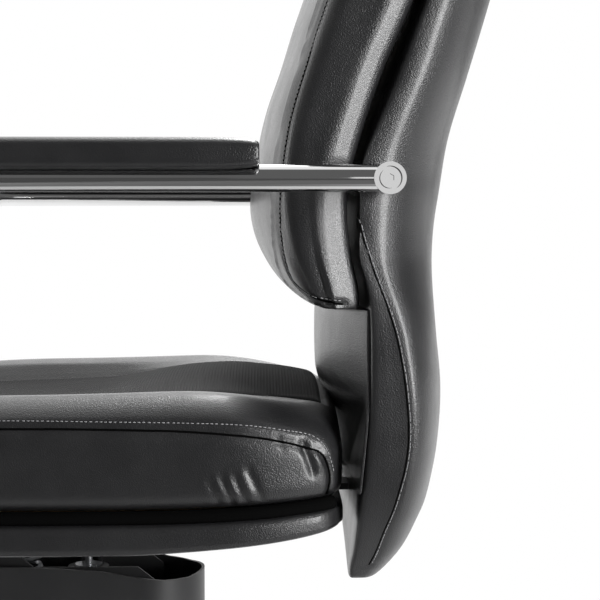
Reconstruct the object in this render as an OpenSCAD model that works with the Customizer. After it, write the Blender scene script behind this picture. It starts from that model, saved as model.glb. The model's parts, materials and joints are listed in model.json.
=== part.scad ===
// Executive office chair: upholstered seat and high back, bright arm loops, tilt mechanism,
// gas lift and five-star base on twin-wheel casters.
// Frame: origin on the floor under the gas lift, +Z up, the chair faces -Y, the sitter's left is +X.

/* [Seat] */
// Half of the seat's width
seat_half_w = 250; // [225:1:275]
// Seat depth in front of the gas lift
seat_front = 250; // [230:1:280]
// Seat depth behind the gas lift
seat_back = 254; // [240:1:260]
// Height of the seat panel's underside
seat_under_z = 352; // [352:1:362]
// Thickness of the leather-wrapped base panel
base_panel_t = 33; // [28:1:40]
// Height of the side bolsters over the base panel
bolster_h = 110; // [95:1:120]
// Depth of the dished centre panel below the bolsters
seat_dish = 9; // [4:1:14]
// Half of the width of the ribbed centre panel
centre_half_w = 148; // [130:1:165]
// Thickness of the ribbed centre panel
centre_t = 5; // [3:0.5:8]
// Distance of the centre panel behind the front edge
centre_front = 30; // [24:1:40]
// Distance of the centre panel ahead of the rear edge
centre_rear = 26; // [24:1:40]
// Thickness of the plywood seat board
board_t = 12; // [9:1:15]

/* [Back] */
// Half of the width of the outer shell
shell_half_w = 238; // [225:1:245]
// Height of the top of the shell
shell_top_z = 1150; // [1110:1:1180]
// Height of the lower tips of the shell
shell_low_z = 327; // [318:1:335]
// Height of the arch cut between the lower tips
arch_h = 34; // [20:1:45]
// Half of the width of the back cushion
cushion_half_w = 230; // [215:1:236]
// Height of the bottom of the back cushion
cushion_low_z = 567; // [560:1:575]
// Distance of the cushion's top below the shell's top
cushion_top_drop = 10; // [4:1:20]
// Gap between cushion and shell
back_gap = 0.6; // [0.4:0.1:2]
// Thickness of the plywood inside the shell
back_board_t = 10; // [8:1:14]

/* [Arms] */
// Distance of the arm loops from the middle of the chair
arm_x = 289; // [284:1:300]
// Height of the arm tube's centre line
arm_z = 679; // [670:1:690]
// Outer diameter of the arm tube
arm_tube_d = 23; // [20:0.5:25]
// Place of the back boss along the chair
boss_y = 286; // [284:1:290]
// Diameter of the back boss
boss_d = 27; // [25:0.5:30]
// Place of the front of the arm loop
arm_front = 205; // [185:1:225]
// Rear end of the arm pad
pad_rear = 177; // [160:1:190]
// Front end of the arm pad
pad_front = 135; // [110:1:150]
// Half of the width of the arm pad
pad_half_w = 29; // [25:1:33]
// Thickness of the arm pad
pad_t = 27; // [24:1:32]

/* [Tilt mechanism] */
// Distance of the tilt axle in front of the gas lift
tilt_front = 110; // [106:1:114]
// Height of the tilt axle
tilt_z = 322; // [318:1:326]
// Diameter of the tilt axle
axle_d = 12; // [10:0.5:14]
// Half of the outer width of the pressed housing
housing_half_w = 45; // [42:1:48]
// Wall of the pressed housing
housing_t = 3; // [2.5:0.5:4]
// Rear end of the plastic cover
cover_rear = 120; // [115:1:128]
// Front end of the plastic cover
cover_front = 178; // [174:1:190]
// Half of the width of the plastic cover
cover_half_w = 62; // [60:1:70]
// Height of the cover's underside
cover_low_z = 238; // [236:1:242]
// Wall of the plastic cover
cover_t = 3; // [2.5:0.5:3.5]
// Diameter of the spring's wire
spring_wire = 5; // [4:0.5:6]
// Outer diameter of the tilt spring
spring_d = 34; // [30:1:36]
// Diameter of the tension knob
knob_d = 46; // [36:1:48]
// Height of the tension knob
knob_h = 26; // [20:1:30]

/* [Gas lift] */
// Diameter of the outer tube
column_d = 50; // [48:0.5:52]
// Wall of the outer tube
column_t = 2.5; // [2:0.5:3]
// Top of the outer tube
column_top_z = 214; // [206:1:218]
// Diameter of the pressure cylinder
cylinder_d = 28; // [27:0.5:30]
// Top of the pressure cylinder
cylinder_top_z = 292; // [288:1:296]
// Diameter of the piston rod
rod_d = 10; // [8:0.5:12]
// Diameter of the release pin
pin_d = 8; // [6:0.5:9]
// Running clearance on the radius of the guided parts
run_clear = 0.05; // [0.03:0.01:0.08]

/* [Base and casters] */
// Distance of the caster stems from the middle
star_r = 300; // [280:1:330]
// Diameter of the hub
hub_d = 84; // [76:1:96]
// Height of the hub's top
hub_top_z = 124; // [118:1:130]
// Height of the hub's underside
hub_low_z = 66; // [64:1:70]
// Diameter of the caster wheels
wheel_d = 60; // [50:1:62]
// Width of one wheel
wheel_w = 21; // [18:1:24]
// Gap between the two wheels of a caster
wheel_gap = 16; // [14:1:18]
// Distance of the wheel axle behind the stem
trail = 22; // [18:1:26]
// Diameter of the caster stem
stem_d = 11; // [10:0.5:12]

/* [Hidden] */
$fn = 64;
leather_colour = [0.05, 0.05, 0.05];
plastic_colour = [0.09, 0.09, 0.09];
steel_colour = [0.55, 0.56, 0.58];
chrome_colour = [0.85, 0.86, 0.88];
fabric_colour = [0.12, 0.12, 0.12];
wood_colour = [0.72, 0.58, 0.40];
// What two pieces that only rest on each other are kept apart by
soft_gap = 0.3;
// Clearance on the radius of bolts in their holes
bolt_clear = 0.5;
eps = 0.01;
// Length of a cutter that goes right through the form it cuts
through = 400;

// A smooth curve through a short table of [place, value] rows
function row_at(t, rows, i = 0) =
    (i >= len(rows) - 2 || t < rows[i + 1][0]) ? i : row_at(t, rows, i + 1);
function slope(rows, i) =
    i == 0 ? (rows[1][1] - rows[0][1]) / (rows[1][0] - rows[0][0])
    : i == len(rows) - 1 ? (rows[i][1] - rows[i - 1][1]) / (rows[i][0] - rows[i - 1][0])
    : (rows[i + 1][1] - rows[i - 1][1]) / (rows[i + 1][0] - rows[i - 1][0]);
function curve(t, rows) =
    let (i = row_at(t, rows), a = rows[i], b = rows[i + 1], d = b[0] - a[0], u = (t - a[0]) / d)
    a[1] * (2 * u * u * u - 3 * u * u + 1) + b[1] * (3 * u * u - 2 * u * u * u)
    + slope(rows, i) * d * (u * u * u - 2 * u * u + u) + slope(rows, i + 1) * d * (u * u * u - u * u);
function signed_pow(v, p) = v < 0 ? -pow(-v, p) : pow(v, p);

// A closed cushion form. Sections follow each other from t0 to t1, each a rounded band of the
// half-width wide(t) between the surfaces near(s, t) and far(s, t), with s from -1 to 1 across.
// along = "z" stacks sections upward with the thickness along Y; "y" runs them back with it along Z.
// near_k and far_k set how square the two halves of the sides are, and top_k the ends; nip is the
// width lost at the ends.
module pillow(t0, t1, wide, near, far, along = "z", steps = 20, around = 36, near_k = 4, far_k = 4,
              top_k = 4, nip = 0.12, end_angle = 78) {
    mid = (t0 + t1) / 2;
    half = (t1 - t0) / 2;
    reach = pow(sin(end_angle), 2 / top_k);
    points = [
        for (i = [0:steps]) let (d = sin(90 * (2 * i / steps - 1)), t = mid + half * d,
            full = pow(1 - pow(abs(reach * d), top_k), 1 / top_k))
        for (j = [0:around - 1]) let (a = 360 * (j + 0.5) / around, k = a < 180 ? far_k : near_k,
            s = signed_pow(cos(a), 2 / k), v = signed_pow(sin(a), 2 / k),
            n = near(s, t), f = far(s, t),
            x = wide(t) * s * (1 - nip * (1 - full)), u = (n + f) / 2 + (f - n) / 2 * v * full)
        along == "z" ? [x, u, t] : [x, t, u]];
    rings = [
        for (i = [0:steps - 1]) for (j = [0:around - 1])
        let (a = i * around + j, b = i * around + (j + 1) % around)
        each [[a, b, b + around], [a, b + around, a + around]]];
    low = [for (j = [around - 1:-1:0]) j];
    high = [for (j = [0:around - 1]) steps * around + j];
    faces = [for (f = concat(rings, [low, high])) along == "z" ? [for (k = [len(f) - 1:-1:0]) f[k]] : f];
    polyhedron(points = points, faces = faces, convexity = 6);
}

// A rod along straight lengths and bends, as one swept form. Each step is ["line", length] or
// ["bend", radius, angle, toward], where toward is the direction that the bend turns to.
function spun(v, axis, a) = v * cos(a) + cross(axis, v) * sin(a) + axis * (axis * v) * (1 - cos(a));
function route(pos, dir, side, steps, i = 0) =
    i == len(steps) ? [[pos, dir, side]]
    : steps[i][0] == "line"
        ? concat([[pos, dir, side]], route(pos + steps[i][1] * dir, dir, side, steps, i + 1))
    : let (r = steps[i][1], a = steps[i][2], raw = steps[i][3] - dir * (dir * steps[i][3]),
           toward = raw / norm(raw), axis = cross(dir, toward), mid = pos + r * toward, n = ceil(a / 13))
        concat([for (k = [0:n - 1]) let (b = a * k / n) [mid + spun(pos - mid, axis, b), spun(dir, axis, b), spun(side, axis, b)]],
               route(mid + spun(pos - mid, axis, a), spun(dir, axis, a), spun(side, axis, a), steps, i + 1));
module swept(rows, r, sides) {
    last = len(rows) - 1;
    points = [for (row = rows) for (j = [0:sides - 1]) let (b = 360 * (j + 0.5) / sides)
        row[0] + r * cos(b) * row[2] + r * sin(b) * cross(row[1], row[2])];
    rings = [for (i = [0:last - 1]) for (j = [0:sides - 1])
        let (a = i * sides + j, b = i * sides + (j + 1) % sides)
        each [[a, b + sides, b], [a, a + sides, b + sides]]];
    ends = [[for (j = [0:sides - 1]) j], [for (j = [sides - 1:-1:0]) last * sides + j]];
    polyhedron(points = points, faces = concat(rings, ends), convexity = 8);
}
module ring_tube(r_out, r_in, h) {
    difference() {
        cylinder(r = r_out, h = h);
        translate([0, 0, -1]) cylinder(r = r_in, h = h + 2);
    }
}
module five() { for (i = [0:4]) rotate([0, 0, -90 + 72 * i]) children(); }

// Gas lift
column_low_z = 30;
disc_t = 4;
race_t = 1.5;
ball_r = 1.4;
guide_len = 80;
collar_t = 3;
cylinder_low_z = column_low_z + disc_t + soft_gap + 2 * race_t + 2 * ball_r + collar_t + 2.5;
cylinder_t = 2;
gland_t = 12;
piston_t = 14;
pin_top_z = cylinder_top_z + 9.7;
stage_t = 2;
stage_gap = 0.6;
stage_h = 88;
upper_r = column_d / 2 + 6;
middle_r = upper_r + stage_gap + stage_t;
lower_r = middle_r + stage_gap + stage_t;

module gas_outer_tube() {
    color(steel_colour) difference() {
        translate([0, 0, column_low_z]) cylinder(d = column_d, h = column_top_z - column_low_z);
        translate([0, 0, column_low_z + disc_t]) cylinder(r = column_d / 2 - column_t, h = column_top_z);
        cylinder(r = rod_d / 2 + run_clear, h = column_top_z);
    }
}
module guide_bush() {
    color(plastic_colour) translate([0, 0, column_top_z - guide_len])
        ring_tube(column_d / 2 - column_t - run_clear, cylinder_d / 2 + run_clear, guide_len);
}
module thrust_bearing() {
    race_r = 2.4 * rod_d / 2;
    low = column_low_z + disc_t + soft_gap;
    color(steel_colour) {
        translate([0, 0, low]) ring_tube(race_r, rod_d / 2 + run_clear, race_t);
        translate([0, 0, low + race_t + 2 * ball_r]) ring_tube(race_r, rod_d / 2 + run_clear, race_t);
        for (i = [0:7]) rotate([0, 0, 45 * i])
            translate([(race_r + rod_d / 2) / 2, 0, low + race_t + ball_r]) sphere(r = ball_r - eps);
    }
}
module piston_rod() {
    collar_z = cylinder_low_z - collar_t - 2.5;
    piston_z = cylinder_top_z - 30;
    color(chrome_colour) {
        translate([0, 0, column_low_z - 8]) cylinder(d = rod_d, h = piston_z - column_low_z + 8);
        translate([0, 0, collar_z]) cylinder(r = rod_d * 0.85, h = collar_t);
        translate([0, 0, piston_z]) cylinder(r = cylinder_d / 2 - cylinder_t - run_clear, h = piston_t);
    }
}
module rod_clip() {
    color(steel_colour) translate([0, 0, column_low_z - soft_gap - 3])
        ring_tube(rod_d * 0.9, rod_d / 2 + run_clear, 3);
}
module gas_cylinder() {
    color(steel_colour) difference() {
        translate([0, 0, cylinder_low_z]) cylinder(d = cylinder_d, h = cylinder_top_z - cylinder_low_z);
        translate([0, 0, cylinder_low_z + gland_t])
            cylinder(r = cylinder_d / 2 - cylinder_t, h = cylinder_top_z - cylinder_low_z - gland_t - 14);
        translate([0, 0, cylinder_low_z - 1]) cylinder(r = rod_d / 2 + run_clear, h = gland_t + 2);
        translate([0, 0, cylinder_top_z - 9]) cylinder(r = pin_d / 2 + run_clear, h = 10);
    }
}
module release_pin() {
    color(steel_colour) translate([0, 0, cylinder_top_z - 4]) cylinder(d = pin_d, h = pin_top_z - cylinder_top_z + 4);
}
module stage(r, z, h) { color(plastic_colour) translate([0, 0, z]) ring_tube(r, r - stage_t, h); }
module lower_cover() { stage(lower_r, hub_top_z + soft_gap, stage_h); }
module middle_cover() { stage(middle_r, hub_top_z + soft_gap, stage_h + 4); }
module upper_cover() { stage(upper_r, hub_top_z + 2 * soft_gap, cover_low_z - hub_top_z - 3 * soft_gap); }

// Five-star base and casters
tip_low_z = 72;
tip_top_z = 93;
tip_r = 18;
tip_step = 2.5;
arm_root_w = 44;
arm_root_x = hub_d / 2 - 9;
arm_wall_t = 5;
socket_depth = 16;
stem_top_z = tip_low_z + socket_depth - 1;
wheel_r = wheel_d / 2;
caster_axle_d = 7;
hood_t = 3;
hood_clear = 2;
neck_r = 12;

module base_arm_plan(grow) {
    polygon([[arm_root_x, -arm_root_w / 2 - grow], [star_r, -tip_r + tip_step - grow],
             [star_r, tip_r - tip_step + grow], [arm_root_x, arm_root_w / 2 + grow]]);
    translate([star_r, 0]) circle(r = tip_r + grow);
}
module base_arm(drop, grow) {
    intersection() {
        translate([0, 0, hub_low_z - 10]) linear_extrude(hub_top_z) base_arm_plan(grow);
        translate([0, tip_r + arm_root_w, 0]) rotate([90, 0, 0]) linear_extrude(2 * (tip_r + arm_root_w))
            polygon([[0, hub_low_z + 3], [star_r * 0.55, hub_low_z + 3], [star_r - 2 * tip_r, tip_low_z],
                     [star_r + 2 * tip_r, tip_low_z], [star_r + 2 * tip_r, tip_top_z - 4 - drop],
                     [star_r, tip_top_z - drop], [star_r * 0.5, tip_top_z + 9 - drop],
                     [0, hub_top_z - 4 - drop]]);
    }
}
module star_base() {
    color(chrome_colour) difference() {
        union() {
            translate([0, 0, hub_low_z]) cylinder(d = hub_d, h = hub_top_z - hub_low_z);
            five() base_arm(0, 0);
        }
        five() difference() {
            translate([0, 0, -arm_wall_t]) base_arm(arm_wall_t, -arm_wall_t);
            cylinder(d = hub_d + 8, h = hub_top_z);
            translate([star_r, 0, 0]) cylinder(r = tip_r - 4, h = hub_top_z);
        }
        cylinder(r = column_d / 2 + run_clear, h = hub_top_z + 1);
        five() translate([star_r, 0, tip_low_z - 20]) cylinder(r = stem_d / 2 + run_clear, h = socket_depth + 20);
    }
}
module caster_place(i) {
    rotate([0, 0, -90 + 72 * (i - 1)]) translate([star_r, 0, 0]) children();
}
module along_axle(half) {
    translate([trail, half, wheel_r]) rotate([90, 0, 0]) linear_extrude(2 * half) children();
}
module caster_hood(i) {
    half = wheel_gap / 2 + wheel_w + hood_clear;
    web = wheel_gap / 2 - 1;
    color(plastic_colour) caster_place(i) difference() {
        union() {
            along_axle(half) difference() {
                circle(r = wheel_r + hood_clear + hood_t);
                translate([-2 * wheel_r, -2 * wheel_r]) square([4 * wheel_r, 2 * wheel_r + 6]);
            }
            along_axle(web) circle(r = wheel_r * 0.7);
            translate([0, 0, wheel_r + 6]) cylinder(r = neck_r, h = tip_low_z - soft_gap - wheel_r - 6);
        }
        difference() {
            along_axle(half + 1) circle(r = wheel_r + hood_clear);
            along_axle(web) circle(r = wheel_r * 2);
        }
        along_axle(half + 1) circle(r = caster_axle_d / 2 + run_clear);
        translate([0, 0, wheel_r + 18]) cylinder(r = stem_d / 2 + run_clear, h = 60);
    }
}
module caster_stem(i) {
    color(steel_colour) caster_place(i)
        translate([0, 0, wheel_r + 18 + soft_gap]) cylinder(d = stem_d, h = stem_top_z - wheel_r - 18 - soft_gap);
}
module caster_axle(i) {
    color(steel_colour) caster_place(i) along_axle(wheel_gap / 2 + wheel_w - 2) circle(d = caster_axle_d);
}
module caster_wheels(i) {
    color(plastic_colour) caster_place(i) for (side = [-1, 1])
        translate([trail, side * (wheel_gap / 2 + wheel_w / 2), wheel_r]) rotate([90, 0, 0])
            rotate_extrude() difference() {
                union() {
                    translate([0, -wheel_w / 2]) square([wheel_r - 3, wheel_w]);
                    translate([0, -wheel_w / 2 + 3]) square([wheel_r, wheel_w - 6]);
                    for (z = [-1, 1]) translate([wheel_r - 3, z * (wheel_w / 2 - 3)]) circle(r = 3);
                }
                translate([-2 * wheel_r, -wheel_w]) square([2 * wheel_r, 2 * wheel_w]);
                translate([-1, -wheel_w]) square([1 + caster_axle_d / 2 + run_clear, 2 * wheel_w]);
                translate([wheel_r * 0.45, side > 0 ? -wheel_w / 2 - 1 : wheel_w / 2 - 2]) square([wheel_r * 0.32, 3]);
            }
}

// Tilt mechanism
floor_z = 262;
boss_r = cylinder_d / 2 + 7;
boss_low_z = cover_low_z + 0.3;
boss_top_z = cylinder_top_z - 2;
spring_arm = 46;
spring_y = -tilt_front + spring_arm;
bolt_d = 10;
cup_t = 3;
cup_z = floor_z + housing_t + 2;
ear_t = 4;
ear_x = housing_half_w + soft_gap;
ear_r = 15;
plate_t = 4;
plate_z = seat_under_z - plate_t;
spring_low_z = cup_z + cup_t;
spring_h = plate_z - soft_gap - spring_low_z;
lug_t = 3;
lug_y = 7.3;
lever_x = -38;
lever_z = pin_top_z + 4.3;
lever_d = 8;
lever_pin_d = 6;
eye_r = 7;
cover_rear_c = cover_rear - cover_half_w;
cover_front_c = -cover_front + cover_half_w;
post_r = 6;
knob_top_z = cover_low_z - 2;

module side_plate(x0, x1) { translate([x0, 0, 0]) rotate([90, 0, 90]) linear_extrude(x1 - x0) children(); }
module mechanism_housing() {
    wall_rear = 75;
    low_top = cylinder_top_z + 6;
    color(steel_colour) difference() {
        union() {
            for (side = [-1, 1]) mirror([side < 0 ? 1 : 0, 0, 0])
                side_plate(housing_half_w - housing_t, housing_half_w) polygon([
                    [-tilt_front - 20, floor_z], [wall_rear, floor_z], [wall_rear, floor_z + 20],
                    [wall_rear - 20, low_top], [-tilt_front + 60, low_top], [-tilt_front + 16, tilt_z + 12],
                    [-tilt_front - 14, tilt_z + 12], [-tilt_front - 20, tilt_z]]);
            translate([-housing_half_w, -tilt_front - 20, floor_z])
                cube([2 * housing_half_w, wall_rear + tilt_front + 20, housing_t]);
            translate([0, 0, boss_low_z]) cylinder(r = boss_r, h = boss_top_z - boss_low_z);
            for (y = [-lug_y - lug_t, lug_y]) translate([-housing_half_w, y, floor_z])
                cube([20, lug_t, lever_z + eye_r - floor_z]);
        }
        cylinder(r = cylinder_d / 2 + run_clear, h = cylinder_top_z);
        translate([0, -tilt_front, tilt_z]) rotate([0, 90, 0])
            cylinder(r = axle_d / 2 + run_clear, h = 4 * housing_half_w, center = true);
        translate([lever_x, 0, lever_z]) rotate([90, 0, 0])
            cylinder(r = lever_pin_d / 2 + run_clear, h = 8 * lug_y, center = true);
        translate([0, spring_y, cover_low_z]) cylinder(r = bolt_d / 2 + run_clear, h = 40);
    }
}
module cover_plan(grow) {
    for (y = [cover_rear_c, cover_front_c]) translate([0, y]) circle(r = cover_half_w + grow);
    translate([-cover_half_w - grow, cover_front_c]) square([2 * (cover_half_w + grow), cover_rear_c - cover_front_c]);
}
module mechanism_cover() {
    color(plastic_colour) difference() {
        union() {
            intersection() {
                difference() {
                    translate([0, 0, cover_low_z]) linear_extrude(100) cover_plan(0);
                    translate([0, 0, cover_low_z + cover_t]) linear_extrude(100) cover_plan(-cover_t);
                }
                side_plate(-2 * cover_half_w, 2 * cover_half_w) polygon([
                    [-cover_front, cover_low_z], [cover_rear, cover_low_z], [cover_rear, 288], [105, 286],
                    [80, 287], [50, 292], [20, 297], [-20, 300], [-60, 302], [-cover_front, 302]]);
            }
            for (x = [-30, 30], y = [-tilt_front + 5, 52]) translate([x, y, cover_low_z + cover_t / 2])
                cylinder(r = post_r, h = floor_z - cover_low_z - cover_t / 2);
        }
        cylinder(r = boss_r + bolt_clear, h = floor_z);
        translate([0, spring_y, 0]) cylinder(r = bolt_d / 2 + bolt_clear, h = floor_z);
    }
}
module tilt_axle() {
    head_t = 3;
    half = ear_x + ear_t + soft_gap;
    color(steel_colour) translate([0, -tilt_front, tilt_z]) rotate([0, 90, 0]) {
        cylinder(d = axle_d, h = 2 * half, center = true);
        for (side = [-1, 1]) translate([0, 0, side * (half + head_t / 2)])
            cylinder(d = axle_d * 1.4, h = head_t, center = true);
    }
}
function coil_point(u, turns) = let (
    r = (spring_d - spring_wire) / 2, ends = spring_wire,
    rise = spring_h - spring_wire,
    z = u < 1 ? ends * 0.6 * u : u > turns - 1 ? rise - ends * 0.6 * (turns - u)
        : ends * 0.6 + (rise - 1.2 * ends) * (u - 1) / (turns - 2))
    [r * cos(360 * u), r * sin(360 * u), z];
module tilt_spring() {
    turns = 8;
    per_turn = 12;
    sides = 6;
    last = turns * per_turn;
    points = [for (i = [0:last]) let (u = i / per_turn, c = coil_point(u, turns), a = 360 * u)
        for (j = [0:sides - 1]) let (b = 360 * j / sides, rr = spring_wire / 2)
        [c[0] + rr * cos(b) * cos(a), c[1] + rr * cos(b) * sin(a), c[2] + rr * sin(b)]];
    rings = [for (i = [0:last - 1]) for (j = [0:sides - 1])
        let (a = i * sides + j, b = i * sides + (j + 1) % sides)
        each [[a, b + sides, b], [a, a + sides, b + sides]]];
    ends = [[for (j = [0:sides - 1]) j], [for (j = [sides - 1:-1:0]) last * sides + j]];
    color(steel_colour) translate([0, spring_y, spring_low_z + spring_wire / 2 + soft_gap / 2])
        polyhedron(points = points, faces = [for (f = concat(rings, ends)) [for (k = [len(f) - 1:-1:0]) f[k]]]);
}
module tension_bolt() {
    color(steel_colour) translate([0, spring_y, 0]) {
        translate([0, 0, knob_top_z - knob_h / 2]) cylinder(d = bolt_d, h = cup_z - knob_top_z + knob_h / 2 + 1);
        translate([0, 0, cup_z]) cylinder(d = spring_d + 2, h = cup_t);
        translate([0, 0, cup_z]) cylinder(d = spring_d - 2 * spring_wire - 3, h = cup_t + 5);
    }
}
module tension_knob() {
    grips = 8;
    color(plastic_colour) translate([0, spring_y, knob_top_z - knob_h]) difference() {
        union() {
            cylinder(d = knob_d - 6, h = knob_h);
            for (i = [0:grips - 1]) rotate([0, 0, 360 * i / grips])
                translate([knob_d / 2 - 5, 0, 0]) cylinder(r = 5, h = knob_h - 4);
        }
        translate([0, 0, knob_h / 2]) cylinder(r = bolt_d / 2 + run_clear, h = knob_h);
    }
}
module lever_pin() {
    color(steel_colour) translate([lever_x, 0, lever_z]) rotate([90, 0, 0])
        cylinder(d = lever_pin_d, h = 2 * (lug_y + lug_t), center = true);
}
lever_drop = 30;
lever_bend = 16;
lever_slant = 22;
lever_reach = 40;
lever_steps = [["line", lever_reach], ["bend", lever_bend, lever_drop, [0, 0, -1]], ["line", lever_slant],
               ["bend", lever_bend, lever_drop, [-1, 0, 0]], ["line", 66]];
handle_x = lever_x - lever_reach - 2 * lever_bend * sin(lever_drop) - lever_slant * cos(lever_drop);
handle_z = lever_z - 2 * lever_bend * (1 - cos(lever_drop)) - lever_slant * sin(lever_drop);
handle_len = 86;
handle_t = 11;
module lever_rod() {
    color(steel_colour) difference() {
        union() {
            translate([lever_x, 0, lever_z]) rotate([0, 90, 0]) cylinder(d = lever_d, h = -lever_x + 4);
            translate([lever_x, 0, lever_z]) rotate([90, 0, 0])
                cylinder(r = eye_r, h = 2 * (lug_y - soft_gap), center = true);
            swept(route([lever_x, 0, lever_z], [-1, 0, 0], [0, 1, 0], lever_steps), lever_d / 2, 16);
        }
        translate([lever_x, 0, lever_z]) rotate([90, 0, 0])
            cylinder(r = lever_pin_d / 2 + run_clear, h = 4 * lug_y, center = true);
    }
}
module lever_handle() {
    root = handle_x - 14;
    color(plastic_colour) difference() {
        translate([root, 0, handle_z - handle_t / 2]) linear_extrude(handle_t) {
            translate([-10, 0]) circle(r = 10);
            translate([-handle_len + 14, 0]) circle(r = 14);
            polygon([[-10, -10], [-10, 10], [-handle_len + 14, 14], [-handle_len + 14, -14]]);
        }
        translate([root + 1, 0, handle_z]) rotate([0, -90, 0])
            cylinder(r = lever_d / 2 + run_clear, h = 56);
    }
}
module bolt_up(z0, z1, d = 8) {
    translate([0, 0, z0]) cylinder(d = d, h = z1 - z0);
    translate([0, 0, z0 - 0.65 * d]) cylinder(r = 0.92 * d, h = 0.65 * d, $fn = 6);
}

// Seat
seat_bolt_d = 8;
plate_half_w = 95;
plate_front = 140;
plate_rear = 52;
seat_bolt_x = 78;
seat_bolt_ys = [-plate_front + 16, plate_rear - 16];
base_half_w = seat_half_w - 4;
panel_top_z = seat_under_z + base_panel_t;
board_half_w = seat_half_w - 26;
board_rear = seat_back - 34;
board_z = panel_top_z - board_t;
leg_x = 80;
leg_w = 40;
leg_t = 6;
leg_z = panel_top_z + 0.2;
leg_front = 130;
function rear_rise(t) = curve(t, [[-260, 0], [50, 0], [115, 1], [180, 4], [245, 9], [260, 10]]);
function panel_top(t) = panel_top_z + rear_rise(t);
function panel_low(t) = seat_under_z + curve(t, [[-260, 6], [-200, 1.5], [-130, 0], [60, 0], [115, 3], [171, 8], [217, 15], [260, 24]]);
function crest(t) = panel_top_z + bolster_h
    + curve(t, [[-260, -46], [-225, -26], [-170, -11], [-100, -4], [0, -1], [100, 1], [180, -1], [225, -6], [260, -16]]);
// Height lost towards the middle by the dish and towards the edge by the bolster's roll
function dish(s) = let (x = abs(s) * seat_half_w, edge = centre_half_w / seat_half_w)
    curve(min(abs(s), 1), [[0, seat_dish + 3], [0.3, seat_dish + 2], [edge, seat_dish - 1], [0.8, -3], [0.9, -6], [1, -10]]);
module seat_plate() {
    color(steel_colour) difference() {
        union() {
            translate([-plate_half_w, -plate_front, plate_z])
                cube([2 * plate_half_w, plate_front + plate_rear, plate_t - 0.1]);
            for (side = [0, 1]) mirror([side, 0, 0]) side_plate(ear_x, ear_x + ear_t) {
                translate([-tilt_front, tilt_z]) circle(r = ear_r);
                polygon([[-tilt_front - ear_r, tilt_z], [-tilt_front + ear_r, tilt_z],
                         [-tilt_front + 30, plate_z + 1], [-tilt_front - 24, plate_z + 1]]);
            }
        }
        translate([0, -tilt_front, tilt_z]) rotate([0, 90, 0])
            cylinder(r = axle_d / 2 + run_clear, h = 4 * ear_x, center = true);
        for (x = [-1, 1], y = seat_bolt_ys) translate([x * seat_bolt_x, y, 0])
            cylinder(r = seat_bolt_d / 2 + bolt_clear, h = seat_under_z);
    }
}
module seat_bolts() {
    color(steel_colour) for (x = [-1, 1], y = seat_bolt_ys) translate([x * seat_bolt_x, y, 0])
        bolt_up(plate_z - 0.1, panel_top_z - 2, seat_bolt_d);
}
arm_foot_x = 150;
arm_foot_w = 70;
arm_foot_d = 56;
arm_bolt_y = 19;
arm_bolt_d = 8;
module board_holes() {
    for (x = [-1, 1], y = seat_bolt_ys) translate([x * seat_bolt_x, y, 0])
        cylinder(r = seat_bolt_d / 2 + bolt_clear, h = panel_top_z + 40);
    for (x = [-1, 1], y = [-1, 1]) translate([x * arm_foot_x, arm_foot_y + y * arm_bolt_y, 0])
        cylinder(r = arm_bolt_d / 2 + bolt_clear, h = panel_top_z + 40);
    for (x = [-1, 1], y = leg_bolt_ys) translate([x * leg_x, y, board_z - 4])
        cylinder(r = seat_bolt_d / 2 + bolt_clear, h = 60);
}
module seat_board() {
    color(wood_colour) difference() {
        translate([-board_half_w, -board_half_w, board_z]) cube([2 * board_half_w, board_half_w + board_rear, board_t]);
        board_holes();
    }
}
module base_panel() {
    color(leather_colour) difference() {
        pillow(-seat_front + 3, seat_back - 2, function(t) base_half_w, function(s, t) panel_low(t),
               function(s, t) panel_top(t), along = "y", steps = 16, around = 28, near_k = 5, far_k = 9, top_k = 7, nip = 0.03);
        translate([-board_half_w - soft_gap, -board_half_w - soft_gap, board_z - soft_gap])
            cube([2 * (board_half_w + soft_gap), board_half_w + board_rear + 2 * soft_gap, 60]);
        for (x = [-1, 1]) translate([x * leg_x - leg_w / 2 - 1, 0, leg_z - 0.5]) cube([leg_w + 2, through, 60]);
        translate([-plate_half_w - 1, -plate_front - 1, 0])
            cube([2 * plate_half_w + 2, plate_front + plate_rear + 2, seat_under_z]);
        board_holes();
    }
}
module cushion_form() {
    pillow(-seat_front, seat_back - 4, function(t) seat_half_w, function(s, t) panel_top(t) + soft_gap,
           function(s, t) crest(t) - dish(s), along = "y", steps = 18, around = 32, near_k = 9, far_k = 5.5,
           top_k = 4, nip = 0.10);
}
// The block that the ribbed centre panel takes from the cushion's top
module centre_block(grow) {
    translate([-centre_half_w - grow, -seat_front + centre_front - grow, panel_top_z + bolster_h / 2])
        cube([2 * (centre_half_w + grow), seat_front - centre_front + seat_back - centre_rear + 2 * grow, bolster_h]);
}
module seat_cushion() {
    color(leather_colour) difference() {
        cushion_form();
        difference() {
            centre_block(soft_gap);
            translate([0, 0, -centre_t - soft_gap]) cushion_form();
        }
        for (x = [-1, 1]) translate([x * leg_x - leg_w / 2 - 1, leg_front - 2, leg_z - 10])
            cube([leg_w + 2, through, 10 + leg_t + soft_gap]);
        for (x = [-1, 1], y = leg_bolt_ys) translate([x * leg_x, y, leg_z]) cylinder(r = seat_bolt_d, h = leg_t + 6);
    }
}
module centre_panel() {
    color(fabric_colour) difference() {
        intersection() {
            cushion_form();
            centre_block(0);
        }
        translate([0, 0, -centre_t]) cushion_form();
    }
}

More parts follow.
